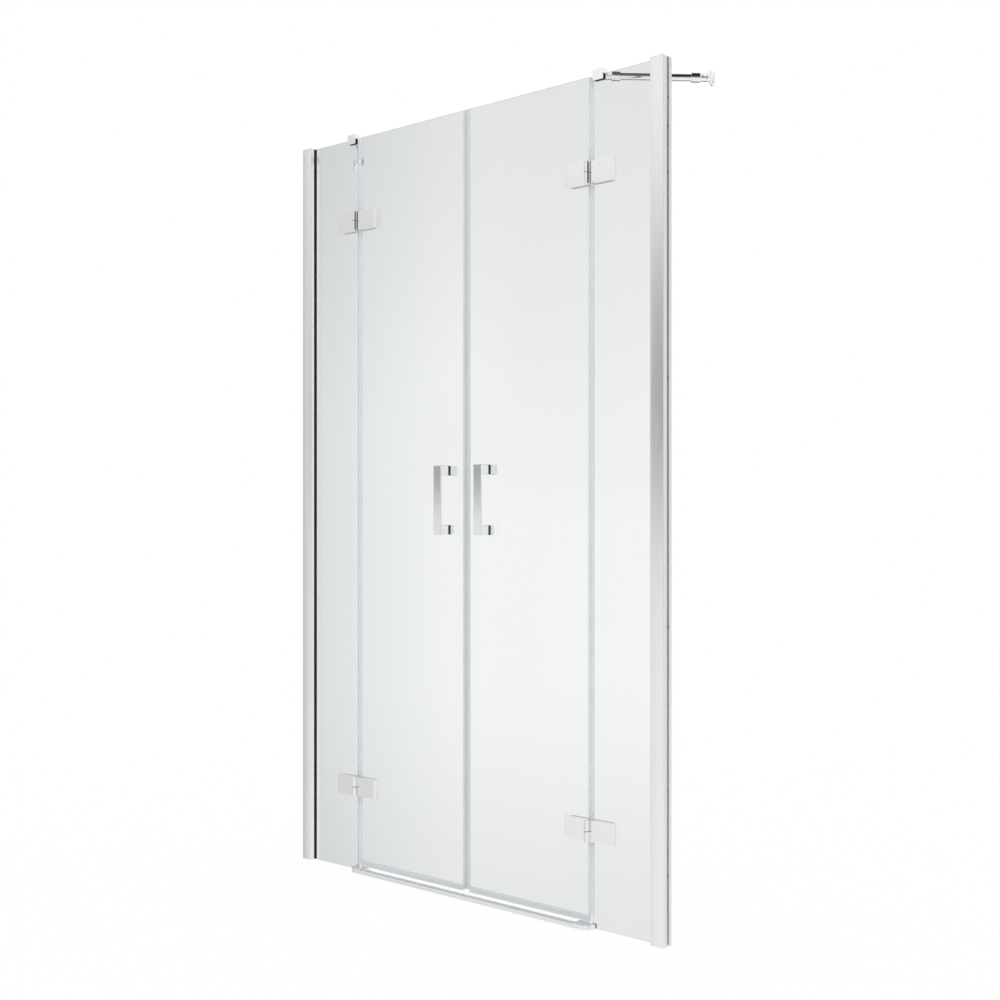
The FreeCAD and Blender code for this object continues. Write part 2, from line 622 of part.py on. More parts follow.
def build_hinge_leaf(level, kind, side):
    """One hinge leaf: a plate in front of the glass, with half of the barrel set into it."""
    name = f"{level}_hinge_{kind}_leaf"
    middle = HINGE_HEIGHTS[level]
    body = new_body(f"left_{name}")
    bottom = f"({middle} - Sizes.hinge_height / 2)"
    near = f"({HINGE_X} + {side} * Sizes.leaf_gap)"
    far = f"({HINGE_X} + {side} * Sizes.hinge_reach)"
    shoulder = f"({HINGE_X} + {side} * (Sizes.knuckle_radius + Sizes.barrel_gap))"
    recess = f"({AXIS_Y} + Sizes.knuckle_radius + Sizes.barrel_gap)"
    plate_middle = f"({PLATE_FRONT} + Sizes.hinge_plate / 2)"
    plate = [
        (near, PLATE_BACK),
        (far, PLATE_BACK),
        (far, PLATE_FRONT),
        (shoulder, PLATE_FRONT),
        (shoulder, recess),
        (near, recess),
    ]
    prism(body, f"{name}_plate", "Z", bottom, "Sizes.hinge_height", plate)
    knuckle_length = "((Sizes.hinge_height - Sizes.knuckle_gap) / 2)"
    knuckle_start = bottom if kind == "fixed" else f"({middle} + Sizes.knuckle_gap / 2)"
    web = rectangle((near, PLATE_FRONT), (shoulder, plate_middle))
    prism(body, f"{name}_web", "Z", knuckle_start, knuckle_length, web)
    axis_place = (HINGE_X, AXIS_Y)
    round_bar(body, f"{name}_knuckle", "Z", knuckle_start, knuckle_length, axis_place, "Sizes.knuckle_radius")
    bore_depth = f"{knuckle_length} - Sizes.knuckle_end"
    if kind == "fixed":
        bore = "Sizes.pin_radius + Sizes.fit_gap"
        mouth = f"({middle} - Sizes.knuckle_gap / 2)"
        drill(body, f"{name}_bore", "Z", mouth, bore_depth, [axis_place], bore, -1)
    else:
        bore = f"{BUSH_RADIUS} + Sizes.fit_gap"
        drill(body, f"{name}_bore", "Z", knuckle_start, bore_depth, [axis_place], bore, 1)
    across = f"({HINGE_X} + {side} * Sizes.hinge_screw_reach)"
    threads = [
        (across, f"({middle} - Sizes.hinge_screw_spacing / 2)"),
        (across, f"({middle} + Sizes.hinge_screw_spacing / 2)"),
    ]
    thread = "Sizes.screw_radius + Sizes.fit_gap"
    drill(body, f"{name}_threads", "Y", PLATE_BACK, "Sizes.screw_grip + Sizes.fit_gap", threads, thread, -1)
    keep_pair(name, body)


def hinge_clamp_pieces(side, kind):
    """Inner plates, gaskets and screws of the two leaves on one side of the axis."""
    plates = []
    gaskets = []
    screws = []
    for level, middle in HINGE_HEIGHTS.items():
        name = f"{level}_{kind}"
        bottom = f"({middle} - Sizes.hinge_height / 2)"
        top = f"({middle} + Sizes.hinge_height / 2)"
        spans = {
            "front": ("Sizes.leaf_gap", "Sizes.hinge_reach"),
            "inner": ("Sizes.inner_gap", "Sizes.inner_reach"),
        }
        edges = {}
        for span, (near, far) in spans.items():
            near_x = f"({HINGE_X} + {side} * {near})"
            far_x = f"({HINGE_X} + {side} * {far})"
            edges[span] = (near_x, far_x) if side > 0 else (far_x, near_x)
        front_low, front_high = edges["front"]
        inner_low, inner_high = edges["inner"]
        plate = box(f"{name}_plate_block", (inner_low, INNER_FRONT, bottom), (inner_high, INNER_BACK, top))
        front_corner = (front_high, f"-{GLASS_FACE}", top)
        front_pad = box(f"{name}_front_pad", (front_low, PLATE_BACK, bottom), front_corner)
        inner_pad = box(f"{name}_inner_pad", (inner_low, GLASS_FACE, bottom), (inner_high, INNER_FRONT, top))
        across = f"({HINGE_X} + {side} * Sizes.hinge_screw_reach)"
        plate_holes = []
        pad_holes = []
        for place, sign in (("low", "-"), ("high", "+")):
            screw = f"{name}_{place}"
            height = f"({middle} {sign} Sizes.hinge_screw_spacing / 2)"
            tip = (across, f"({PLATE_BACK} - Sizes.screw_grip)", height)
            length = f"({INNER_BACK} - {PLATE_BACK} + Sizes.screw_grip)"
            head_start = (across, f"({INNER_BACK} - Sizes.screw_head)", height)
            head_size = ("Sizes.screw_radius", "Sizes.screw_head_radius", "Sizes.screw_head")
            shank = cylinder(f"{screw}_shank", "Y", "Sizes.screw_radius", length, tip)
            head = cone(f"{screw}_head", "Y", *head_size, head_start)
            blank = fused(f"{screw}_blank", [shank, head])
            socket_place = (across, f"({INNER_BACK} - Sizes.socket_depth)", height)
            socket = hexagon(f"{screw}_socket", "Y", *SOCKET_SIZE, socket_place)
            screws.append(without(f"{screw}_screw", blank, socket))
            loose = "Sizes.screw_radius + Sizes.fit_gap"
            sink_size = (loose, "Sizes.screw_head_radius + Sizes.fit_gap", "Sizes.screw_head")
            sink = cone(f"{screw}_sink", "Y", *sink_size, head_start)
            plate_holes.append(sink)
            plate_holes.append(cylinder(f"{screw}_plate_hole", "Y", loose, length, tip))
            wide = "Sizes.screw_radius + Sizes.washer_gap"
            pad_holes.append(cylinder(f"{screw}_pad_hole", "Y", wide, length, tip))
        plates.append(without(f"{name}_inner_plate", plate, fused(f"{name}_plate_holes", plate_holes)))
        pad_tool = group(f"{name}_pad_holes", pad_holes)
        gaskets.append(without(f"{name}_front_gasket", front_pad, pad_tool))
        gaskets.append(without(f"{name}_inner_gasket", inner_pad, pad_tool))
    return plates, gaskets, screws


def build_hinge_pins():
    """Pins fixed in the lower knuckles, which the door knuckles are lifted onto."""
    pins = []
    for level, middle in HINGE_HEIGHTS.items():
        low = f"({middle} - Sizes.hinge_height / 2 + Sizes.knuckle_end)"
        length = "Sizes.hinge_height - 2 * Sizes.knuckle_end - Sizes.pin_top_gap"
        pins.append(cylinder(f"{level}_pin", "Z", "Sizes.pin_radius", length, (HINGE_X, AXIS_Y, low)))
    keep_both("hinge_pins", group("hinge_pins_left", pins))


def build_hinge_bushes():
    """Flanged plastic bushes pressed into the door knuckles."""
    bushes = []
    for level, middle in HINGE_HEIGHTS.items():
        flange_low = f"({middle} - Sizes.knuckle_gap / 2 + Sizes.bush_float)"
        flange_height = "Sizes.knuckle_gap - Sizes.bush_float"
        sleeve_length = f"({middle} + Sizes.hinge_height / 2 - Sizes.knuckle_end - {flange_low})"
        start = (HINGE_X, AXIS_Y, flange_low)
        flange = cylinder(f"{level}_bush_flange", "Z", "Sizes.bush_flange_radius", flange_height, start)
        sleeve = cylinder(f"{level}_bush_sleeve", "Z", BUSH_RADIUS, sleeve_length, start)
        bore = cylinder(
            f"{level}_bush_bore", "Z", "Sizes.pin_radius + Sizes.running_gap", sleeve_length, start
        )
        whole = fused(f"{level}_bush_whole", [flange, sleeve])
        bushes.append(without(f"{level}_bush", whole, bore))
    keep_pair("hinge_bushes", group("left_hinge_bushes", bushes))


def build_threshold():
    """Low aluminium strip on the tray, with an end piece round each fixed glass corner."""
    strip = new_body("threshold_strip")
    front = "(-Sizes.threshold_front)"
    ridge_back = "(Sizes.threshold_ridge - Sizes.threshold_front)"
    edge_rise = "(Sizes.threshold_edge * (1 - cos(45)))"
    section = [
        (front, "0"),
        ("Sizes.threshold_back", "0"),
        ("Sizes.threshold_back", "Sizes.threshold_base"),
        (ridge_back, "Sizes.threshold_base"),
        (ridge_back, "(Sizes.threshold_height - Sizes.threshold_edge)", edge_rise),
        (f"({ridge_back} - Sizes.threshold_edge)", "Sizes.threshold_height"),
        (f"({front} + Sizes.threshold_edge)", "Sizes.threshold_height", edge_rise),
        (front, "(Sizes.threshold_height - Sizes.threshold_edge)"),
    ]
    prism(strip, "strip_section", "X", END_IN, f"-2 * {END_IN}", section)
    keep("threshold_strip", strip)
    end = new_body("threshold_end_left")
    slot_face = f"({GLASS_FACE} + Sizes.end_gap)"
    slot_floor = f"({FIXED_EDGE} + Sizes.end_gap)"
    corner_rise = "(Sizes.end_round * (1 - cos(45)))"
    plan = [
        (f"({END_OUT} + Sizes.end_round)", front),
        (END_IN, front),
        (END_IN, "Sizes.threshold_back"),
        (END_OUT, "Sizes.threshold_back"),
        (END_OUT, slot_face),
        (slot_floor, slot_face),
        (slot_floor, f"-{slot_face}"),
        (END_OUT, f"-{slot_face}"),
        (END_OUT, f"({front} + Sizes.end_round)", corner_rise),
    ]
    prism(end, "end_plan", "Z", "0", "Sizes.end_height", plan)
    keep_both("threshold_ends", end)


def build_gap_seal():
    """Clear seal on the hinge edge of the leaf, with a lip behind the fixed glass, cut at the hinges."""
    lip_face = f"({GLASS_FACE} + Sizes.seal_clear)"
    lip_back = f"({lip_face} + Sizes.seal_skin)"
    front = f"(-{GLASS_FACE} - Sizes.seal_skin)"
    edge = f"({DOOR_EDGE} - Sizes.seal_skin)"
    flange = f"({DOOR_EDGE} + Sizes.gap_seal_flange)"
    lip = f"({edge} - Sizes.gap_seal_lip)"
    section = [
        (flange, front),
        (flange, f"-{GLASS_FACE}"),
        (DOOR_EDGE, f"-{GLASS_FACE}"),
        (DOOR_EDGE, GLASS_FACE),
        (flange, GLASS_FACE),
        (flange, lip_back),
        (lip, lip_back),
        (lip, lip_face),
        (edge, lip_face),
        (edge, front),
    ]
    clear = "(Sizes.hinge_height / 2 + Sizes.seal_end_gap)"
    stops = [
        "(Sizes.door_lift + Sizes.drip_flange + Sizes.seal_joint)",
        f"({HINGE_HEIGHTS['lower']} - {clear})",
        f"({HINGE_HEIGHTS['lower']} + {clear})",
        f"({HINGE_HEIGHTS['upper']} - {clear})",
        f"({HINGE_HEIGHTS['upper']} + {clear})",
        GLASS_TOP,
    ]
    lengths = []
    for index in range(0, len(stops), 2):
        body = new_body(f"gap_seal_{index}")
        low, high = stops[index], stops[index + 1]
        prism(body, f"gap_seal_section_{index}", "Z", low, f"{high} - {low}", section)
        lengths.append(body)
    keep_pair("hinge_gap_seal", group("left_hinge_gap_seal", lengths))


def build_magnet_seal():
    """Clear closing seal on the meeting edge of the leaf, and the magnet strip inside it."""
    skin = f"({GLASS_FACE} + Sizes.seal_skin)"
    flange = f"({DOOR_MEET} - Sizes.magnet_flange)"
    half_magnet = "(Sizes.magnet_width / 2)"
    pocket_left = f"({DOOR_MEET} + Sizes.seal_skin)"
    pocket_right = "(-Sizes.magnet_face_back - Sizes.seal_skin)"
    length = f"{GLASS_TOP} - Sizes.door_lift"
    section = [
        (flange, f"-{skin}"),
        ("(-Sizes.magnet_face_front)", f"-{skin}"),
        ("(-Sizes.magnet_face_back)", skin),
        (flange, skin),
        (flange, GLASS_FACE),
        (DOOR_MEET, GLASS_FACE),
        (DOOR_MEET, f"-{GLASS_FACE}"),
        (flange, f"-{GLASS_FACE}"),
    ]
    pocket = rectangle((pocket_left, f"-{half_magnet}"), (pocket_right, half_magnet))
    seal = new_body("left_magnet_seal")
    prism(seal, "magnet_seal_section", "Z", "Sizes.door_lift", length, section, pocket)
    keep_pair("magnet_seal", seal)
    play = "Sizes.magnet_play"
    low = (f"({pocket_left} + {play})", f"(-{half_magnet} + {play})", "Sizes.door_lift")
    high = (f"({pocket_right} - {play})", f"({half_magnet} - {play})", GLASS_TOP)
    keep_pair("magnet_strip", box("left_magnet_strip", low, high))


def build_bottom_seal():
    """Clear drip seal under the leaf."""
    skin = f"({GLASS_FACE} + Sizes.drip_skin)"
    top = "(Sizes.door_lift + Sizes.drip_flange)"
    bottom = "(Sizes.door_lift - Sizes.drip_drop)"
    web = "(Sizes.door_lift - Sizes.drip_skin)"
    section = [
        (f"-{skin}", bottom),
        (f"-{GLASS_FACE}", bottom),
        (f"-{GLASS_FACE}", web),
        (GLASS_FACE, web),
        (GLASS_FACE, bottom),
        (skin, bottom),
        (skin, top),
        (GLASS_FACE, top),
        (GLASS_FACE, "Sizes.door_lift"),
        (f"-{GLASS_FACE}", "Sizes.door_lift"),
        (f"-{GLASS_FACE}", top),
        (f"-{skin}", top),
    ]
    seal_end = f"({DOOR_MEET} - Sizes.magnet_flange - Sizes.seal_joint)"
    body = new_body("left_bottom_seal")
    prism(body, "bottom_seal_section", "X", DOOR_EDGE, f"{seal_end} - {DOOR_EDGE}", section)
    keep_pair("bottom_seal", body)


def build_handle():
    """Outside handle, a knob and a button inside, with the washers and studs that hold them."""
    bar_left = f"({HANDLE_X} - Sizes.handle_width / 2)"
    bar_right = f"({HANDLE_X} + Sizes.handle_width / 2)"
    left = f"({HANDLE_X} - Sizes.post_width / 2)"
    right = f"({HANDLE_X} + Sizes.post_width / 2)"
    half_post = "(Sizes.post_height / 2)"
    posts = {"upper": UPPER_POST, "lower": LOWER_POST}
    bar_back = f"({BAR_FRONT} + Sizes.handle_bar)"
    bar_low = "(Sizes.handle_height - Sizes.handle_length / 2)"
    handle = new_body("left_handle")
    bar = rectangle((bar_left, BAR_FRONT), (bar_right, bar_back))
    prism(handle, "handle_bar", "Z", bar_low, "Sizes.handle_length", bar)
    for place, height in posts.items():
        post = rectangle((left, bar_back), (right, POST_BACK))
        prism(handle, f"{place}_post", "Z", f"({height} - {half_post})", "Sizes.post_height", post)
    soften(handle, "handle_edges", "Sizes.handle_round")
    stud_hole = "Sizes.stud_radius + Sizes.fit_gap"
    sockets = [(HANDLE_X, height) for height in posts.values()]
    drill(handle, "post_sockets", "Y", POST_BACK, "Sizes.stud_grip + Sizes.fit_gap", sockets, stud_hole, -1)
    keep_pair("handle", handle)

    inside = {
        "upper": ("inside_knob", "Sizes.knob_depth", "Sizes.knob_grip"),
        "lower": ("inside_button", "Sizes.button_depth", "Sizes.button_grip"),
    }
    studs = []
    washers = []
    for place, (name, depth, grip) in inside.items():
        height = posts[place]
        low_edge = f"({height} - {half_post})"
        high_edge = f"({height} + {half_post})"
        body = new_body(f"left_{name}")
        plan = rectangle((left, KNOB_FRONT), (right, f"({KNOB_FRONT} + {depth})"))
        prism(body, f"{name}_block", "Z", low_edge, "Sizes.post_height", plan)
        soften(body, f"{name}_edges", "Sizes.handle_round")
        socket = [(HANDLE_X, height)]
        drill(body, f"{name}_socket", "Y", KNOB_FRONT, f"{grip} + Sizes.fit_gap", socket, stud_hole, 1)
        keep_pair(name, body)
        start = (HANDLE_X, f"({POST_BACK} - Sizes.stud_grip)", height)
        length = f"({KNOB_FRONT} + {grip} - {start[1]})"
        studs.append(cylinder(f"{place}_stud", "Y", "Sizes.stud_radius", length, start))
        for face, near, far in (
            ("front", POST_BACK, f"-{GLASS_FACE}"),
            ("back", GLASS_FACE, KNOB_FRONT),
        ):
            block = box(f"{place}_{face}_washer_block", (left, near, low_edge), (right, far, high_edge))
            hole = cylinder(
                f"{place}_{face}_washer_hole", "Y", "Sizes.stud_radius + Sizes.washer_gap", length, start
            )
            washers.append(without(f"{place}_{face}_washer", block, hole))
    return studs, washers


def build_stabiliser():
    """Clamp on the fixed glass, swivelling rod between two sleeves, and a flange for the wall."""
    lug_low = f"({ARM_Z} + Sizes.swivel_gap / 2)"
    pin_low = f"({ARM_Z} - Sizes.tongue_radius)"
    lug_height = "(Sizes.tongue_radius - Sizes.swivel_gap / 2)"
    fixed_pin = "Sizes.swivel_pin_radius + Sizes.fit_gap"
    pin_length = "2 * Sizes.tongue_radius"
    radius = "Sizes.tongue_radius"

    clamp = new_body("left_stabiliser_clamp")
    lining_top = f"({GLASS_TOP} + Sizes.clamp_pad_top)"
    clamp_section = [
        (f"-{CLAMP_FACE}", CLAMP_LOW),
        (f"-{LINING_FACE}", CLAMP_LOW),
        (f"-{LINING_FACE}", lining_top),
        (LINING_FACE, lining_top),
        (LINING_FACE, CLAMP_LOW),
        (CLAMP_FACE, CLAMP_LOW),
        (CLAMP_FACE, CLAMP_TOP),
        (f"-{CLAMP_FACE}", CLAMP_TOP),
    ]
    prism(clamp, "clamp_section", "X", CLAMP_LEFT, "Sizes.clamp_width", clamp_section)
    jaw_middle = f"({CLAMP_FACE} - Sizes.clamp_jaw / 2)"
    clamp_lug = [
        (f"({CLAMP_X} - {radius})", jaw_middle),
        (f"({CLAMP_X} + {radius})", jaw_middle),
        (f"({CLAMP_X} + {radius})", PIVOT_Y, radius),
        (f"({CLAMP_X} - {radius})", PIVOT_Y),
    ]
    prism(clamp, "clamp_lug", "Z", lug_low, lug_height, clamp_lug)
    drill(clamp, "clamp_pin_hole", "Z", lug_low, lug_height, [(CLAMP_X, PIVOT_Y)], fixed_pin, 1)
    screw_height = f"({CLAMP_LOW} + Sizes.clamp_screw_lift)"
    screw_hole = "Sizes.clamp_screw_radius + Sizes.fit_gap"
    screw_place = (CLAMP_X, screw_height)
    drill(clamp, "clamp_screw_hole", "Y", LINING_FACE, "Sizes.clamp_jaw", [screw_place], screw_hole, 1)
    keep_pair("stabiliser_clamp", clamp)

    grub_start = (CLAMP_X, LINING_FACE, screw_height)
    blank = cylinder("grub_blank", "Y", "Sizes.clamp_screw_radius", "Sizes.clamp_jaw", grub_start)
    socket_place = (CLAMP_X, f"({CLAMP_FACE} - Sizes.socket_depth)", screw_height)
    socket = hexagon("grub_socket", "Y", "Sizes.grub_socket_radius", "Sizes.socket_depth", socket_place)
    keep_both("clamp_screws", without("grub_left", blank, socket))
    pin_start = (CLAMP_X, PIVOT_Y, pin_low)
    pin = cylinder("clamp_pin_left", "Z", "Sizes.swivel_pin_radius", pin_length, pin_start)
    keep_both("clamp_swivel_pins", pin)

    lining = new_body("clamp_lining")
    lining_section = [
        (f"-{LINING_FACE}", CLAMP_LOW),
        (f"-{GLASS_FACE}", CLAMP_LOW),
        (f"-{GLASS_FACE}", GLASS_TOP),
        (GLASS_FACE, GLASS_TOP),
        (GLASS_FACE, CLAMP_LOW),
        (LINING_FACE, CLAMP_LOW),
        (LINING_FACE, lining_top),
        (f"-{LINING_FACE}", lining_top),
    ]
    prism(lining, "lining_section", "X", CLAMP_LEFT, "Sizes.clamp_width", lining_section)

    sleeve_ends = {
        "clamp": ((CLAMP_X, PIVOT_Y), "0", "Sizes.tongue_length"),
        "wall": ((ANCHOR_X, "Sizes.anchor_back"), "180", "Sizes.wall_tongue"),
    }
    sleeves = []
    for end, (pivot, turn, shoulder) in sleeve_ends.items():
        sleeves.append(build_sleeve(end, pivot, turn, shoulder))
    keep_pair("stabiliser_sleeves", group("left_stabiliser_sleeves", sleeves))
    rod = new_body("left_stabiliser_rod")
    rod_start = "(Sizes.tongue_length + Sizes.sleeve_floor)"
    rod_end = "(Sizes.wall_tongue + Sizes.sleeve_floor)"
    rod_length = f"{ARM_LENGTH} - {rod_start} - {rod_end}"
    round_bar(rod, "rod_bar", "X", rod_start, rod_length, ("0", "0"), "Sizes.rod_radius")
    turn_to_arm(rod, (CLAMP_X, PIVOT_Y), "0")
    keep_pair("stabiliser_rod", rod)

    flange = new_body("left_wall_flange")
    half_flange = "(Sizes.flange_width / 2)"
    flange_front = f"(Sizes.anchor_back - {half_flange})"
    flange_back = f"(Sizes.anchor_back + {half_flange})"
    straight_low = f"({ARM_Z} - Sizes.flange_drop)"
    flange_top = f"({ARM_Z} + Sizes.flange_rise)"
    flange_face = [
        (flange_front, straight_low, half_flange),
        (flange_back, straight_low),
        (flange_back, flange_top),
        (flange_front, flange_top),
    ]
    prism(flange, "flange_face", "X", WALL, "Sizes.flange_thickness", flange_face)
    flange_middle = f"({WALL} + Sizes.flange_thickness / 2)"
    flange_lug = [
        (flange_middle, f"(Sizes.anchor_back - {radius})"),
        (ANCHOR_X, f"(Sizes.anchor_back - {radius})", radius),
        (ANCHOR_X, f"(Sizes.anchor_back + {radius})"),
        (flange_middle, f"(Sizes.anchor_back + {radius})"),
    ]
    prism(flange, "flange_lug", "Z", lug_low, lug_height, flange_lug)
    anchor_pivot = [(ANCHOR_X, "Sizes.anchor_back")]
    drill(flange, "flange_pin_hole", "Z", lug_low, lug_height, anchor_pivot, fixed_pin, 1)
    hole_place = [("Sizes.anchor_back", f"({ARM_Z} - Sizes.anchor_hole_drop)")]
    anchor_hole = "Sizes.anchor_hole_radius"
    drill(flange, "anchor_hole", "X", WALL, "Sizes.flange_thickness", hole_place, anchor_hole, 1)
    keep_pair("wall_flange", flange)
    anchor_pin_start = (ANCHOR_X, "Sizes.anchor_back", pin_low)
    anchor_pin = cylinder("left_flange_pin", "Z", "Sizes.swivel_pin_radius", pin_length, anchor_pin_start)
    keep_pair("flange_pin", anchor_pin)
    return lining


def turn_to_arm(piece, pivot, turn):
    """Lay a piece that is drawn along X on the line between the two pivots."""
    place = f"vector({pivot[0]}; {pivot[1]}; {ARM_Z})"
    rotation = f"rotation(vector(0; 0; 1); {ARM_ANGLE} + {turn} deg)"
    piece.setExpression("Placement", f"placement({place}; {rotation})")


def build_sleeve(end, pivot, turn, shoulder):
    """Sleeve for the end of the rod, with a half-round tongue that lies under the lug."""
    body = new_body(f"{end}_sleeve")
    radius = "Sizes.tongue_radius"
    half_gap = "(Sizes.swivel_gap / 2)"
    centre = ("0", "0")
    round_size = (shoulder, "Sizes.sleeve_length", centre, "Sizes.sleeve_radius")
    round_bar(body, f"{end}_round", "X", *round_size)
    half_width = f"sqrt({radius}^2 - {half_gap}^2)"
    half_round = [
        (f"(-{half_width})", f"(-{half_gap})", f"({radius} - {half_gap})"),
        (half_width, f"(-{half_gap})"),
    ]
    tongue_length = f"(Sizes.tongue_radius + {shoulder} + Sizes.sleeve_floor)"
    prism(body, f"{end}_tongue", "X", f"(-{radius})", tongue_length, half_round)
    outside = f"(2 * {radius})"
    round_end = [
        ("0", f"(-{radius})"),
        ("0", f"(-{outside})"),
        (f"(-{outside})", f"(-{outside})"),
        (f"(-{outside})", outside),
        ("0", outside),
        ("0", radius, radius),
    ]
    trim(body, f"{end}_tongue_end", "Z", "0", None, round_end, -1)
    pin_hole = "Sizes.swivel_pin_radius + Sizes.running_gap"
    drill(body, f"{end}_tongue_hole", "Z", "0", None, [centre], pin_hole, -1)
    bore_start = f"({shoulder} + Sizes.sleeve_floor)"
    rod_hole = "Sizes.rod_radius + Sizes.fit_gap"
    drill(body, f"{end}_rod_hole", "X", bore_start, None, [centre], rod_hole, 1)
    turn_to_arm(body, pivot, turn)
    return body


build_wall_channel()
build_glass_profile()
build_glass_gasket()
build_profile_cap()
build_profile_screws()
build_panes()
for level_name in HINGE_HEIGHTS:
    build_hinge_leaf(level_name, "fixed", -1)
    build_hinge_leaf(level_name, "door", 1)
fixed_plates, fixed_gaskets, fixed_screws = hinge_clamp_pieces(-1, "fixed")
door_plates, door_gaskets, door_screws = hinge_clamp_pieces(1, "door")
build_hinge_pins()
build_hinge_bushes()
build_threshold()
build_gap_seal()
build_magnet_seal()
build_bottom_seal()
handle_studs, handle_washers = build_handle()
clamp_lining = build_stabiliser()
keep_both("fixed_hinge_inner_plates", group("fixed_hinge_inner_plates_left", fixed_plates))
keep_both("fixed_hinge_screws", group("fixed_hinge_screws_left", fixed_screws))
keep_both("fixed_panel_gaskets", group("fixed_panel_gaskets_left", fixed_gaskets + [clamp_lining]))
keep_pair("door_hinge_inner_plates", group("left_door_hinge_inner_plates", door_plates))
keep_pair("door_gaskets", group("left_door_gaskets", door_gaskets + handle_washers))
keep_pair("door_fasteners", group("left_door_fasteners", door_screws + handle_studs))

doc.recompute()
for thing in doc.Objects:
    if "Invalid" in thing.State or "Error" in thing.State:
        raise RuntimeError(f"{thing.Name} did not build: {thing.State}")
for pocket in pockets:
    if pocket.BaseFeature.Shape.Volume - pocket.Shape.Volume < LEAST_CUT:
        raise RuntimeError(f"{pocket.Name} cuts nothing")
for label, piece in nodes.items():
    if piece.Shape.isNull() or not piece.Shape.isValid():
        raise RuntimeError(f"{label} has no valid shape")

os.makedirs("parts", exist_ok=True)
for label, piece in nodes.items():
    piece.Shape.exportStep(f"parts/{label}.step")
print(len(nodes), "nodes,", sum(len(piece.Shape.Solids) for piece in nodes.values()), "solids")
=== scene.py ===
import json
import math

import bpy
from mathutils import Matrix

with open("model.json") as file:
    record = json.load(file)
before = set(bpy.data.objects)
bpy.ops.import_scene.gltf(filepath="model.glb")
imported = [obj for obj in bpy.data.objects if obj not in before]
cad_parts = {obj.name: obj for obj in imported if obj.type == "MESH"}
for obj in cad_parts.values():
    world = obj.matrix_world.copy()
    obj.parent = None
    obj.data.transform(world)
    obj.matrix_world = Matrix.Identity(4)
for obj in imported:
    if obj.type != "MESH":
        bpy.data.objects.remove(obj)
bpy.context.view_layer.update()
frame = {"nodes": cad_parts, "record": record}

# Camera, from the photograph: place in metres, turn about the vertical, and focal length in photo pixels
CAMERA_PLACE = (2.324, -2.5052, 0.9441)
CAMERA_TURN = 41.48
PHOTO_WIDTH = 1000
FOCAL_PIXELS = 1379.0
HORIZON_ROW = 515.33
SENSOR_WIDTH = 36.0

# Floor: half its side in metres, the share of its white that glows for the camera, and what it sends back
# to the object
FLOOR_HALF = 8.0
FLOOR_GLOW = 0.88
FLOOR_WHITE = 0.8

# The studio as metal shows it. A pair is where a change starts and ends. Four numbers are a window: where it
# starts, is full, fades and ends. Angles are in degrees, around from the front to the left or up from the
# horizon, and the others are parts of a direction of length one. A depth is the share of light taken away.
FRONT_TO_BACK = (-0.5, 0.1)
FRONT_LEVEL = 0.92
HIGH_WALL = (10.0, 17.0)
HIGH_GAIN = 0.08
STRIP_AROUND = (-42.0, -36.0, -32.0, -24.0)
STRIP_GAIN = 0.15
FRONT_AROUND = (-28.0, -18.0, 14.0, 28.0)
FRONT_DEPTH = 0.06
LEFT_WALL_AROUND = (36.0, 62.0, 72.0, 88.0)
LEFT_WALL_TOP = (20.0, 28.0)
LEFT_WALL_DEPTH = 0.43
LEFT_BACK_AROUND = (112.0, 125.0, 150.0, 175.0)
LEFT_BACK_TOP = (6.0, 10.0)
LEFT_BACK_DEPTH = 0.7
BAND_AROUND = (2.0, 18.0, 40.0, 43.5)
BAND_UP = (-0.5, 2.0, 7.0, 14.0)
BAND_DEPTH = 0.7
BAND_END_AROUND = (40.0, 43.5, 44.4, 45.6)
BAND_END_UP = (-0.5, 2.0, 3.0, 6.0)
BAND_END_DEPTH = 0.5
RIGHT_SIDE_AROUND = (-125.0, -108.0, -50.0, -40.0)
RIGHT_SIDE_FOOT = (-12.0, -4.0)
RIGHT_SIDE_DEPTH = 0.86
BACK_WALL = (-0.1, 0.3)
BACK_WALL_RISE = 20.0
CEILING_UP = (22.0, 30.0)
CEILING_DEPTH = 0.86
SKYLIGHT_UP = (22.0, 28.0)
SKYLIGHT_LEFT = (-0.5, -0.35)

# The studio as glass lets it through, in the same way, but with around measured from the back
THROUGH_LEFT = (-0.2, 0.2)
THROUGH_ABOVE = (2.0, 18.0)
THROUGH_ABOVE_DEPTH = 0.155
THROUGH_BELOW = (-18.0, -6.0)
THROUGH_BELOW_DEPTH = 0.135
THROUGH_CEILING = (19.5, 27.0)
THROUGH_CEILING_DEPTH = 0.94
GREY_LEFT_AROUND = (42.0, 54.0, 80.0, 110.0)
GREY_LEFT_DEPTHS = (("Red", 0.35), ("Green", 0.317), ("Blue", 0.30))

# Edge rounding on the CAD pieces, in metres and degrees
WELD_DISTANCE = 0.000004
EDGE_ANGLE = 38.0
EDGE_STEPS = 2
METAL_EDGE = 0.0004
HANDLE_EDGE = 0.00015
RUBBER_EDGE = 0.0003

# Each material's two colours, the darker one first
CHROME = ((0.86, 0.86, 0.86), (0.89, 0.89, 0.89))
KNOB_CHROME = ((0.74, 0.78, 0.78), (0.78, 0.82, 0.82))
ALUMINIUM = ((0.89, 0.89, 0.89), (0.92, 0.92, 0.92))
SATIN_ALUMINIUM = ((0.90, 0.90, 0.90), (0.93, 0.93, 0.93))
CHANNEL_ALUMINIUM = ((0.80, 0.80, 0.80), (0.86, 0.86, 0.86))
STEEL = ((0.60, 0.60, 0.60), (0.72, 0.72, 0.71))
GLASS_FACE = ((0.890, 0.906, 0.905), (0.900, 0.914, 0.913))
GLASS_EDGE = ((0.74, 0.78, 0.79), (0.80, 0.84, 0.85))
BLACK = ((0.012, 0.012, 0.013), (0.028, 0.028, 0.030))
DARK_TEAL = ((0.050, 0.075, 0.075), (0.065, 0.095, 0.095))
PALE_GREY = ((0.52, 0.53, 0.54), (0.60, 0.61, 0.62))
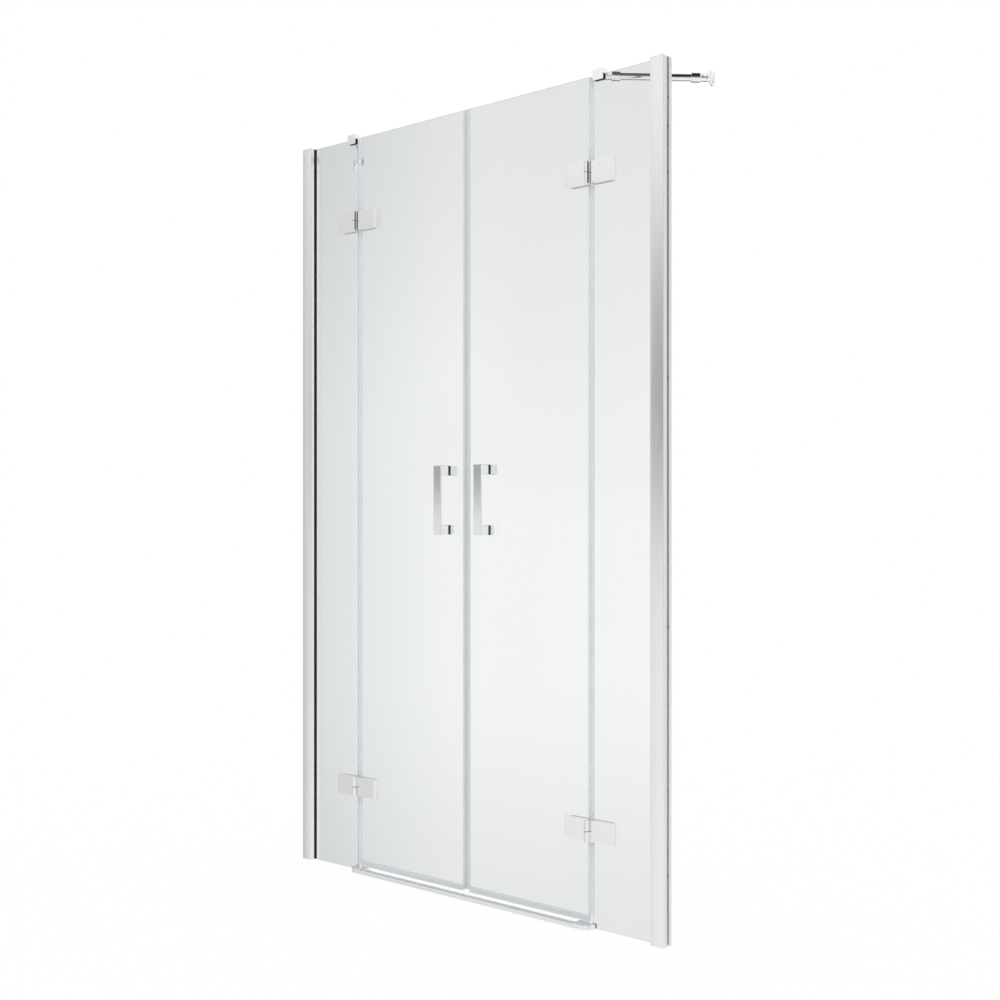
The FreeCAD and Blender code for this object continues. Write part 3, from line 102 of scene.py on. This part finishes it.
CLEAR_PLASTIC = ((0.85, 0.89, 0.91), (0.90, 0.94, 0.96))
MAGNET_GREY = ((0.50, 0.53, 0.55), (0.58, 0.60, 0.62))
BUSH_GREY = ((0.09, 0.09, 0.10), (0.13, 0.13, 0.14))

# Noise: the part of its range that is used, and how it is stretched over a piece
NOISE_RANGE = (0.3, 0.7)
EVEN = (1.0, 1.0, 1.0)
DRAWN_UPRIGHT = (1.0, 1.0, 0.01)
DRAWN_ACROSS = (0.01, 1.0, 1.0)
RUBBER_GRAIN = 900.0
FINE_RELIEF = 0.0001
COARSE_RELIEF = 0.0002

# Glass: how far a surface faces front or back where the edges' grinding ends, and its roughness there and
# where water was wiped
GLASS_BENDING = 1.5
FACE_TURN = (0.4, 0.6)
GROUND_ROUGHNESS = 0.4
WIPED_RANGE = (0.35, 0.75)
WIPED_ROUGHNESS = 0.02

# Hinges: only the barrel stands further out than where the finish changes, in metres
BARREL_TO_PLATE = (-0.0162, -0.0158)
BARREL_ROUGHNESS = 0.06
PLATE_ROUGHNESS = 0.13
PLATE_UNEVENNESS = (0.85, 1.15)

# Pads: heights from the middle of the door between which they belong to the hinges, in metres
MIDDLE_HEIGHT = 0.975
HINGE_PADS = (0.70, 0.71, 0.79, 0.80)

# Threshold ends: where the black painted as shade in the slot for the fixed glass gives way to metal, off
# the glass plane and off the middle of the door, in metres
SLOT_SIDE = (0.0034, 0.0037)
SLOT_FLOOR = (0.3925, 0.3935)
SATIN_ROUGHNESS = (0.26, 0.34)

SEAL_COVER = 0.52

# The colour sockets of a Mix node
MIX_COLOUR_A = 6
MIX_COLOUR_B = 7
MIX_COLOUR_RESULT = 2


def link(tree, output, entry):
    """Joins a node's output to another node's input."""
    tree.links.new(output, entry)


def give(tree, entry, value):
    """Sets an input to a number or colour, or joins it to an output."""
    if isinstance(value, bpy.types.NodeSocket):
        link(tree, value, entry)
    else:
        entry.default_value = value


def arithmetic(tree, operation, first, second=0.0):
    """A Math node's result."""
    node = tree.nodes.new("ShaderNodeMath")
    node.operation = operation
    give(tree, node.inputs[0], first)
    give(tree, node.inputs[1], second)
    return node.outputs[0]


def both(tree, first, second):
    """A share that is one only where both shares are."""
    return arithmetic(tree, "MULTIPLY", first, second)


def ease(tree, value, start, end, low=0.0, high=1.0):
    """A value that goes smoothly from low at start to high at end."""
    node = tree.nodes.new("ShaderNodeMapRange")
    node.interpolation_type = "SMOOTHSTEP"
    give(tree, node.inputs["Value"], value)
    node.inputs["From Min"].default_value = start
    node.inputs["From Max"].default_value = end
    node.inputs["To Min"].default_value = low
    node.inputs["To Max"].default_value = high
    return node.outputs["Result"]


def window(tree, value, start, full, fade, end):
    """One between full and fade, falling smoothly to nothing at start and end."""
    rise = ease(tree, value, start, full)
    fall = ease(tree, value, fade, end, 1.0, 0.0)
    return both(tree, rise, fall)


def darkened(tree, level, share, depth):
    """A level with part of it taken away where share is one."""
    loss = arithmetic(tree, "MULTIPLY", share, depth)
    kept = arithmetic(tree, "SUBTRACT", 1.0, loss)
    return arithmetic(tree, "MULTIPLY", level, kept)


def parts(tree, coordinates):
    """The X, Y and Z of one of a surface's or the world's coordinates."""
    place = tree.nodes.new("ShaderNodeTexCoord")
    split = tree.nodes.new("ShaderNodeSeparateXYZ")
    link(tree, place.outputs[coordinates], split.inputs[0])
    return split.outputs


def background(tree, colour):
    """A world shader of one colour or level."""
    node = tree.nodes.new("ShaderNodeBackground")
    give(tree, node.inputs["Color"], colour)
    return node.outputs[0]


def choose(tree, share, first, second):
    """A Mix Shader's result."""
    node = tree.nodes.new("ShaderNodeMixShader")
    link(tree, share, node.inputs[0])
    link(tree, first, node.inputs[1])
    link(tree, second, node.inputs[2])
    return node.outputs[0]


def turned(tree, to_left, ahead):
    """Degrees from straight ahead to the left."""
    turn = arithmetic(tree, "ARCTAN2", to_left, ahead)
    return arithmetic(tree, "DEGREES", turn)


def studio_level(tree, x, y, tilt, around):
    """Light walls with a bright strip, shades to the left, a grey band at the left front, a dark right side
    above the floor, and a dark ceiling that is open at the far left."""
    walls = ease(tree, y, *FRONT_TO_BACK, FRONT_LEVEL, 1.0)
    high_light = ease(tree, tilt, *HIGH_WALL, 0.0, HIGH_GAIN)
    level = arithmetic(tree, "ADD", walls, high_light)
    level = arithmetic(tree, "MINIMUM", level, 1.0)
    strip = window(tree, around, *STRIP_AROUND)
    strip_light = arithmetic(tree, "MULTIPLY", strip, STRIP_GAIN)
    level = arithmetic(tree, "ADD", level, strip_light)
    front = window(tree, around, *FRONT_AROUND)
    level = darkened(tree, level, front, FRONT_DEPTH)

    left_wall = window(tree, around, *LEFT_WALL_AROUND)
    left_wall_up = ease(tree, tilt, *LEFT_WALL_TOP, 1.0, 0.0)
    level = darkened(tree, level, both(tree, left_wall, left_wall_up), LEFT_WALL_DEPTH)
    left_back = window(tree, around, *LEFT_BACK_AROUND)
    left_back_up = ease(tree, tilt, *LEFT_BACK_TOP, 1.0, 0.0)
    level = darkened(tree, level, both(tree, left_back, left_back_up), LEFT_BACK_DEPTH)
    band = window(tree, around, *BAND_AROUND)
    band_up = window(tree, tilt, *BAND_UP)
    level = darkened(tree, level, both(tree, band, band_up), BAND_DEPTH)
    band_end = window(tree, around, *BAND_END_AROUND)
    band_end_up = window(tree, tilt, *BAND_END_UP)
    level = darkened(tree, level, both(tree, band_end, band_end_up), BAND_END_DEPTH)
    right_side = window(tree, around, *RIGHT_SIDE_AROUND)
    above_floor = ease(tree, tilt, *RIGHT_SIDE_FOOT)
    level = darkened(tree, level, both(tree, right_side, above_floor), RIGHT_SIDE_DEPTH)

    back_wall = ease(tree, y, *BACK_WALL, 0.0, BACK_WALL_RISE)
    over_wall = arithmetic(tree, "SUBTRACT", tilt, back_wall)
    ceiling = ease(tree, over_wall, *CEILING_UP)
    overhead = ease(tree, over_wall, *SKYLIGHT_UP)
    far_left = ease(tree, x, *SKYLIGHT_LEFT, 1.0, 0.0)
    ceiling = darkened(tree, ceiling, both(tree, overhead, far_left), 1.0)
    return darkened(tree, level, ceiling, CEILING_DEPTH)


def through_colour(tree, x, tilt, around_back):
    """White that is a little greyer at the left above and below, and grey at the far left, with a dark
    ceiling."""
    left_part = ease(tree, x, *THROUGH_LEFT, 1.0, 0.0)
    above = ease(tree, tilt, *THROUGH_ABOVE)
    level = darkened(tree, 1.0, both(tree, above, left_part), THROUGH_ABOVE_DEPTH)
    below = ease(tree, tilt, *THROUGH_BELOW, 1.0, 0.0)
    level = darkened(tree, level, both(tree, below, left_part), THROUGH_BELOW_DEPTH)
    ceiling = ease(tree, tilt, *THROUGH_CEILING)
    level = darkened(tree, level, ceiling, THROUGH_CEILING_DEPTH)
    grey_left = window(tree, around_back, *GREY_LEFT_AROUND)
    colour = tree.nodes.new("ShaderNodeCombineColor")
    for channel, depth in GREY_LEFT_DEPTHS:
        link(tree, darkened(tree, level, grey_left, depth), colour.inputs[channel])
    return colour.outputs["Color"]


def build_world():
    """White behind the object, and a soft studio of light and dark for what metal and glass show."""
    world = bpy.data.worlds.new("studio")
    bpy.context.scene.world = world
    world.use_nodes = True
    tree = world.node_tree
    tree.nodes.clear()
    x, y, z = parts(tree, "Generated")
    rise = arithmetic(tree, "ARCSINE", z)
    tilt = arithmetic(tree, "DEGREES", rise)
    to_left = arithmetic(tree, "MULTIPLY", x, -1.0)
    to_front = arithmetic(tree, "MULTIPLY", y, -1.0)
    around = turned(tree, to_left, to_front)
    around_back = turned(tree, to_left, y)

    plain = background(tree, (1.0, 1.0, 1.0, 1.0))
    studio = background(tree, studio_level(tree, x, y, tilt, around))
    seen_through = background(tree, through_colour(tree, x, tilt, around_back))
    rays = tree.nodes.new("ShaderNodeLightPath")
    lit = choose(tree, rays.outputs["Is Glossy Ray"], plain, studio)
    lit = choose(tree, rays.outputs["Is Transmission Ray"], lit, seen_through)
    lit = choose(tree, rays.outputs["Is Camera Ray"], lit, plain)
    end = tree.nodes.new("ShaderNodeOutputWorld")
    link(tree, lit, end.inputs["Surface"])


def build_floor():
    """A plain white floor that keeps a faint shadow."""
    mesh = bpy.data.meshes.new("studio_floor")
    corners = [(-FLOOR_HALF, -FLOOR_HALF, 0.0), (FLOOR_HALF, -FLOOR_HALF, 0.0),
               (FLOOR_HALF, FLOOR_HALF, 0.0), (-FLOOR_HALF, FLOOR_HALF, 0.0)]
    mesh.from_pydata(corners, [], [(0, 1, 2, 3)])
    floor = bpy.data.objects.new("studio_floor", mesh)
    bpy.context.scene.collection.objects.link(floor)
    floor.visible_glossy = False
    floor.visible_transmission = False
    material = bpy.data.materials.new("floor_white")
    material.use_nodes = True
    tree = material.node_tree
    tree.nodes.clear()
    glow = tree.nodes.new("ShaderNodeEmission")
    glow.inputs["Strength"].default_value = FLOOR_GLOW
    shaded = tree.nodes.new("ShaderNodeBsdfDiffuse")
    share = 1.0 - FLOOR_GLOW
    shaded.inputs["Color"].default_value = (share, share, share, 1.0)
    together = tree.nodes.new("ShaderNodeAddShader")
    link(tree, glow.outputs[0], together.inputs[0])
    link(tree, shaded.outputs[0], together.inputs[1])
    bounce = tree.nodes.new("ShaderNodeBsdfDiffuse")
    bounce.inputs["Color"].default_value = (FLOOR_WHITE, FLOOR_WHITE, FLOOR_WHITE, 1.0)
    rays = tree.nodes.new("ShaderNodeLightPath")
    surface = choose(tree, rays.outputs["Is Camera Ray"], bounce.outputs[0], together.outputs[0])
    end = tree.nodes.new("ShaderNodeOutputMaterial")
    link(tree, surface, end.inputs["Surface"])
    mesh.materials.append(material)


def build_camera():
    """The photograph's viewing angle."""
    data = bpy.data.cameras.new("photo_camera")
    data.sensor_fit = "HORIZONTAL"
    data.sensor_width = SENSOR_WIDTH
    data.lens = FOCAL_PIXELS / PHOTO_WIDTH * SENSOR_WIDTH
    data.shift_y = (HORIZON_ROW - PHOTO_WIDTH / 2) / PHOTO_WIDTH
    camera = bpy.data.objects.new("photo_camera", data)
    camera.location = CAMERA_PLACE
    camera.rotation_euler = (math.radians(90.0), 0.0, math.radians(CAMERA_TURN))
    bpy.context.scene.collection.objects.link(camera)
    bpy.context.scene.camera = camera


def new_material(name):
    """A material with one Principled shader, its node tree and that shader."""
    material = bpy.data.materials.new(name)
    material.use_nodes = True
    tree = material.node_tree
    shader = tree.nodes["Principled BSDF"]
    return material, tree, shader


def noise(tree, stretch, scale, detail=3.0):
    """Noise over the piece, in metres, stretched along an axis by a small factor there."""
    place = tree.nodes.new("ShaderNodeTexCoord")
    mapping = tree.nodes.new("ShaderNodeMapping")
    mapping.inputs["Scale"].default_value = stretch
    link(tree, place.outputs["Object"], mapping.inputs["Vector"])
    texture = tree.nodes.new("ShaderNodeTexNoise")
    texture.inputs["Scale"].default_value = scale
    texture.inputs["Detail"].default_value = detail
    link(tree, mapping.outputs["Vector"], texture.inputs["Vector"])
    return texture.outputs["Fac"]


def ramp(tree, value, colours):
    """A colour that goes from the first to the second as noise rises."""
    node = tree.nodes.new("ShaderNodeValToRGB")
    for stop, position, colour in zip(node.color_ramp.elements, NOISE_RANGE, colours):
        stop.position = position
        stop.color = (*colour, 1.0)
    link(tree, value, node.inputs["Fac"])
    return node.outputs["Color"]


def mixed_colour(tree, share, first, second):
    """The first colour where share is nothing, and the second where it is one."""
    node = tree.nodes.new("ShaderNodeMix")
    node.data_type = "RGBA"
    link(tree, share, node.inputs["Factor"])
    link(tree, first, node.inputs[MIX_COLOUR_A])
    link(tree, second, node.inputs[MIX_COLOUR_B])
    return node.outputs[MIX_COLOUR_RESULT]


def bump(tree, shader, height, strength, distance):
    """Small relief on a surface."""
    node = tree.nodes.new("ShaderNodeBump")
    node.inputs["Strength"].default_value = strength
    node.inputs["Distance"].default_value = distance
    link(tree, height, node.inputs["Height"])
    link(tree, node.outputs["Normal"], shader.inputs["Normal"])


def make_glass():
    """Clear toughened glass with a trace of green, faint streaks of wiped water and ground, pale edges."""
    material, tree, shader = new_material("clear_glass")
    shader.inputs["IOR"].default_value = GLASS_BENDING
    facing = parts(tree, "Normal")
    to_face = arithmetic(tree, "ABSOLUTE", facing["Y"])
    face = ease(tree, to_face, *FACE_TURN)
    link(tree, face, shader.inputs["Transmission Weight"])
    streaks = noise(tree, (3.0, 3.0, 0.6), 2.0)
    tint = ramp(tree, streaks, GLASS_FACE)
    grinding = noise(tree, EVEN, 700.0)
    edge = ramp(tree, grinding, GLASS_EDGE)
    link(tree, mixed_colour(tree, face, edge, tint), shader.inputs["Base Color"])
    film = noise(tree, (1.0, 1.0, 0.3), 9.0)
    wiped = ease(tree, film, *WIPED_RANGE, 0.0, WIPED_ROUGHNESS)
    ground = ease(tree, face, 0.0, 1.0, GROUND_ROUGHNESS, 0.0)
    link(tree, arithmetic(tree, "ADD", wiped, ground), shader.inputs["Roughness"])
    return material


def make_metal(name, colours, stretch, scale, roughness, relief):
    """Metal with a cloudy or drawn finish."""
    material, tree, shader = new_material(name)
    shader.inputs["Metallic"].default_value = 1.0
    clouds = noise(tree, stretch, scale)
    link(tree, ramp(tree, clouds, colours), shader.inputs["Base Color"])
    fine = noise(tree, stretch, scale * 6.0, 4.0)
    link(tree, ease(tree, fine, *NOISE_RANGE, *roughness), shader.inputs["Roughness"])
    bump(tree, shader, fine, relief, FINE_RELIEF)
    return material


def make_hinge():
    """Chrome plates with a light satin finish, and polished chrome where the barrel stands out of them."""
    material, tree, shader = new_material("hinge_chrome")
    shader.inputs["Metallic"].default_value = 1.0
    clouds = noise(tree, EVEN, 60.0)
    link(tree, ramp(tree, clouds, CHROME), shader.inputs["Base Color"])
    place = parts(tree, "Object")
    finish = ease(tree, place["Y"], *BARREL_TO_PLATE, BARREL_ROUGHNESS, PLATE_ROUGHNESS)
    grain = noise(tree, EVEN, 900.0)
    uneven = ease(tree, grain, *NOISE_RANGE, *PLATE_UNEVENNESS)
    link(tree, arithmetic(tree, "MULTIPLY", finish, uneven), shader.inputs["Roughness"])
    bump(tree, shader, grain, 0.03, FINE_RELIEF)
    return material


def rubber_surface(tree, shader):
    """A fine matt grain. Gives the grain's noise for the colour."""
    grain = noise(tree, EVEN, RUBBER_GRAIN, 5.0)
    link(tree, ease(tree, grain, *NOISE_RANGE, 0.5, 0.7), shader.inputs["Roughness"])
    bump(tree, shader, grain, 0.3, COARSE_RELIEF)
    return grain


def make_rubber():
    """Black rubber."""
    material, tree, shader = new_material("black_rubber")
    grain = rubber_surface(tree, shader)
    link(tree, ramp(tree, grain, BLACK), shader.inputs["Base Color"])
    return material


def make_pads(name, colours):
    """Rubber pads, pale grey in the hinges and dark elsewhere."""
    material, tree, shader = new_material(name)
    grain = rubber_surface(tree, shader)
    dark = ramp(tree, grain, colours)
    pale = ramp(tree, grain, PALE_GREY)
    place = parts(tree, "Object")
    height = arithmetic(tree, "SUBTRACT", place["Z"], MIDDLE_HEIGHT)
    from_middle = arithmetic(tree, "ABSOLUTE", height)
    in_hinge = window(tree, from_middle, *HINGE_PADS)
    link(tree, mixed_colour(tree, in_hinge, dark, pale), shader.inputs["Base Color"])
    return material


def make_threshold_end():
    """Satin aluminium, with black painted into the slot that the fixed glass stands in, as painted shade."""
    material, tree, shader = new_material("threshold_end")
    place = parts(tree, "Object")
    from_middle = arithmetic(tree, "ABSOLUTE", place["X"])
    from_glass = arithmetic(tree, "ABSOLUTE", place["Y"])
    beside_slot = ease(tree, from_glass, *SLOT_SIDE)
    before_slot = ease(tree, from_middle, *SLOT_FLOOR, 1.0, 0.0)
    metal = arithmetic(tree, "MAXIMUM", beside_slot, before_slot)
    link(tree, metal, shader.inputs["Metallic"])
    lines = noise(tree, DRAWN_ACROSS, 300.0)
    # Painted shade: black in the slot where the fixed glass stands, not a sealant of the real piece
    painted_slot_shade = ramp(tree, lines, BLACK)
    satin = ramp(tree, lines, SATIN_ALUMINIUM)
    link(tree, mixed_colour(tree, metal, painted_slot_shade, satin), shader.inputs["Base Color"])
    link(tree, ease(tree, lines, *NOISE_RANGE, *SATIN_ROUGHNESS), shader.inputs["Roughness"])
    return material


def make_seal(name, stretch):
    """Soft, half clear plastic with faint drawn lines along its length."""
    material, tree, shader = new_material(name)
    lines = noise(tree, stretch, 400.0)
    link(tree, ramp(tree, lines, CLEAR_PLASTIC), shader.inputs["Base Color"])
    link(tree, ease(tree, lines, *NOISE_RANGE, 0.25, 0.4), shader.inputs["Roughness"])
    shader.inputs["Alpha"].default_value = SEAL_COVER
    return material


def make_plastic(name, colours, scale, roughness):
    """Moulded plastic with a faint mottle."""
    material, tree, shader = new_material(name)
    mottle = noise(tree, EVEN, scale, 4.0)
    link(tree, ramp(tree, mottle, colours), shader.inputs["Base Color"])
    link(tree, ease(tree, mottle, *NOISE_RANGE, *roughness), shader.inputs["Roughness"])
    bump(tree, shader, mottle, 0.1, COARSE_RELIEF)
    return material


def round_edges(node, width):
    """Rounds a CAD piece's sharp edges, as a made edge is."""
    weld = node.modifiers.new("weld", "WELD")
    weld.merge_threshold = WELD_DISTANCE
    edges = node.modifiers.new("edges", "BEVEL")
    edges.width = width
    edges.segments = EDGE_STEPS
    edges.limit_method = "ANGLE"
    edges.angle_limit = math.radians(EDGE_ANGLE)
    edges.miter_outer = "MITER_ARC"
    normals = node.modifiers.new("normals", "WEIGHTED_NORMAL")
    normals.keep_sharp = True


def slot_materials():
    """The material of each of the record's slots."""
    return {
        "clear_glass": make_glass(),
        "polished_aluminium": make_metal("polished_aluminium", ALUMINIUM, DRAWN_UPRIGHT, scale=300.0,
                                         roughness=(0.18, 0.26), relief=0.06),
        "chrome": make_metal("chrome", CHROME, EVEN, scale=40.0, roughness=(0.03, 0.07), relief=0.02),
        "black_rubber": make_rubber(),
        "clear_seal": make_seal("clear_seal", (1.0, 1.0, 0.02)),
        "magnet": make_plastic("magnet", MAGNET_GREY, scale=300.0, roughness=(0.4, 0.6)),
        "bush_plastic": make_plastic("bush_plastic", BUSH_GREY, scale=200.0, roughness=(0.35, 0.5)),
        "steel": make_metal("steel", STEEL, EVEN, scale=150.0, roughness=(0.22, 0.38), relief=0.1),
    }


def special_materials():
    """Materials for pieces whose finish differs from their slot's, by the ending of the piece's name."""
    hinge = make_hinge()
    knob = make_metal("knob_chrome", KNOB_CHROME, EVEN, scale=40.0, roughness=(0.05, 0.10), relief=0.02)
    return {
        "bottom_seal": make_seal("clear_seal_lying", DRAWN_ACROSS),
        "door_gaskets": make_pads("door_pads", DARK_TEAL),
        "panel_gaskets": make_pads("panel_pads", BLACK),
        "hinge_door_leaf": hinge,
        "hinge_fixed_leaf": hinge,
        "hinge_inner_plates": make_metal("satin_chrome", CHROME, EVEN, scale=60.0,
                                         roughness=(0.42, 0.5), relief=0.02),
        "inside_knob": knob,
        "inside_button": knob,
        "threshold_strip": make_metal("threshold_aluminium", SATIN_ALUMINIUM, DRAWN_ACROSS, scale=300.0,
                                      roughness=SATIN_ROUGHNESS, relief=0.06),
        "threshold_ends": make_threshold_end(),
        "wall_channel": make_metal("channel_aluminium", CHANNEL_ALUMINIUM, DRAWN_UPRIGHT, scale=300.0,
                                   roughness=(0.4, 0.5), relief=0.1),
    }


def finish_nodes():
    """Gives each CAD piece its material and its edge rounding."""
    by_slot = slot_materials()
    by_ending = special_materials()
    edge_widths = {
        "polished_aluminium": METAL_EDGE,
        "chrome": METAL_EDGE,
        "black_rubber": RUBBER_EDGE,
        "bush_plastic": RUBBER_EDGE,
        "steel": RUBBER_EDGE,
    }
    for subpart in frame["record"]["subparts"]:
        name = subpart["node"]
        slot = subpart["material_slot"]
        node = frame["nodes"][name]
        material = by_slot[slot]
        for ending, special in by_ending.items():
            if name.endswith(ending):
                material = special
        node.data.materials.clear()
        node.data.materials.append(material)
        if name.endswith("_handle"):
            round_edges(node, HANDLE_EDGE)
        elif slot in edge_widths:
            round_edges(node, edge_widths[slot])
        if slot == "clear_glass":
            node.visible_shadow = False
            node.visible_diffuse = False


bpy.context.scene.view_settings.view_transform = "Standard"
build_camera()
build_world()
build_floor()
finish_nodes()
